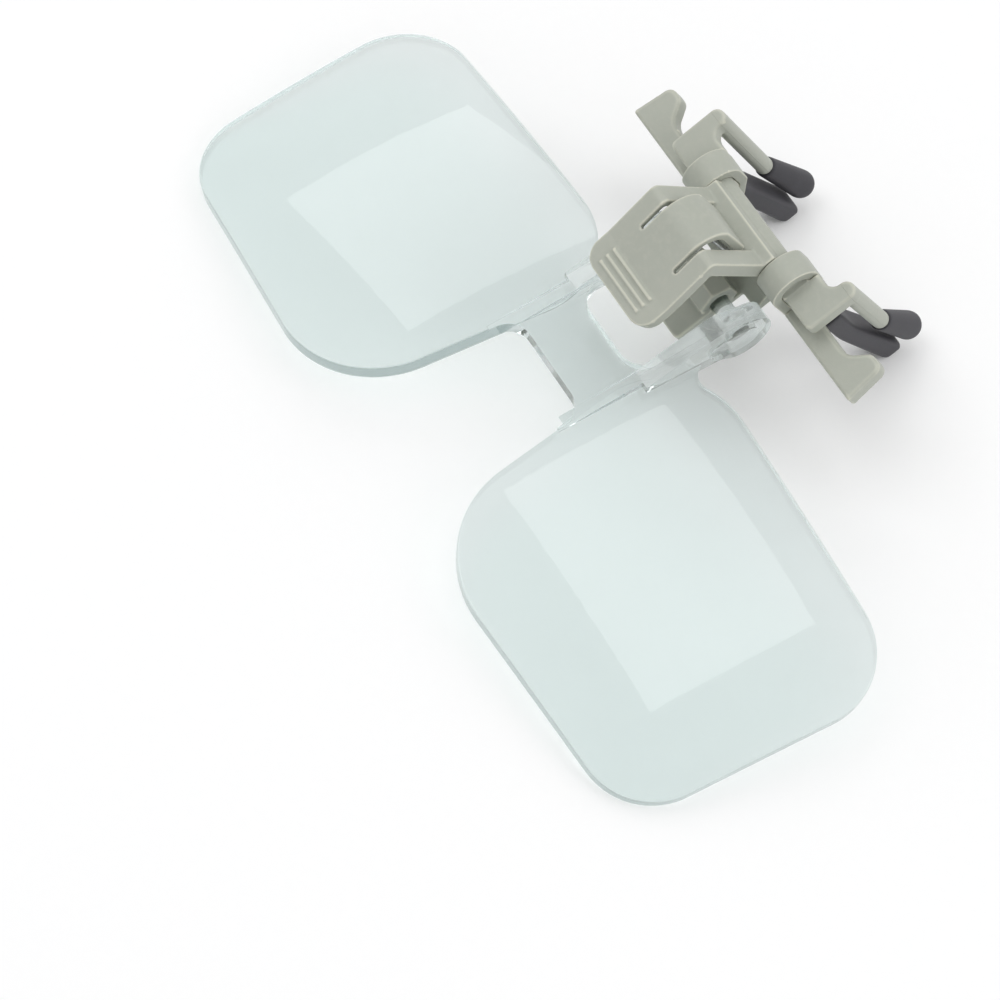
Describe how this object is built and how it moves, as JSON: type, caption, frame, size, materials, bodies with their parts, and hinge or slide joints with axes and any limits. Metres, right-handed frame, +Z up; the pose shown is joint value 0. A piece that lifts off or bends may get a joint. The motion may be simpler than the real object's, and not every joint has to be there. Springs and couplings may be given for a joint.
{
  "type": "clip on eyeglass loupe",
  "caption": "Clear magnifying lenses on a shared bridge that flip up on a sprung clip, whose padded jaws pinch the middle of an eyeglass frame.",
  "frame": {"origin": "middle of the loupe in plan, on the table it lies on with its lenses flipped up and resting on their lower edges and on the front jaws", "axes": "+X to the wearer's left, along both hinge axes; +Y from the lenses' lower edges towards the clip's jaws; +Z up from the table"},
  "size_m": [0.1176, 0.0796, 0.0342],
  "materials": {
    "clear_acrylic": "clear, polished",
    "clip_plastic": "moulded, satin, warm grey",
    "sleeve_rubber": "soft, matt, dark grey",
    "spring_steel": "drawn wire"
  },
  "bodies": {
    "base": {"clip_base": "clip_plastic", "bearing_cap_left": "clip_plastic", "bearing_cap_right": "clip_plastic", "front_sleeve_left": "sleeve_rubber", "front_sleeve_right": "sleeve_rubber", "torsion_spring": "spring_steel"},
    "lever": {"thumb_lever": "clip_plastic", "rear_sleeve_left": "sleeve_rubber", "rear_sleeve_right": "sleeve_rubber"},
    "lenses": {"lens_pair": "clear_acrylic"}
  },
  "joints": [
    {"name": "lens_flip", "type": "hinge", "parent": "base", "child": "lenses", "pos_m": [0, 0.00931, 0.0159], "axis": [1, 0, 0], "range_deg": [-8, 115]},
    {"name": "lever_pinch", "type": "hinge", "parent": "base", "child": "lever", "pos_m": [0, 0.01423, 0.02514], "axis": [1, 0, 0], "range_deg": [0, 14], "stiffness_Nm_per_rad": 0.1, "springref_deg": -17.19, "deforming": ["torsion_spring"]}
  ]
}
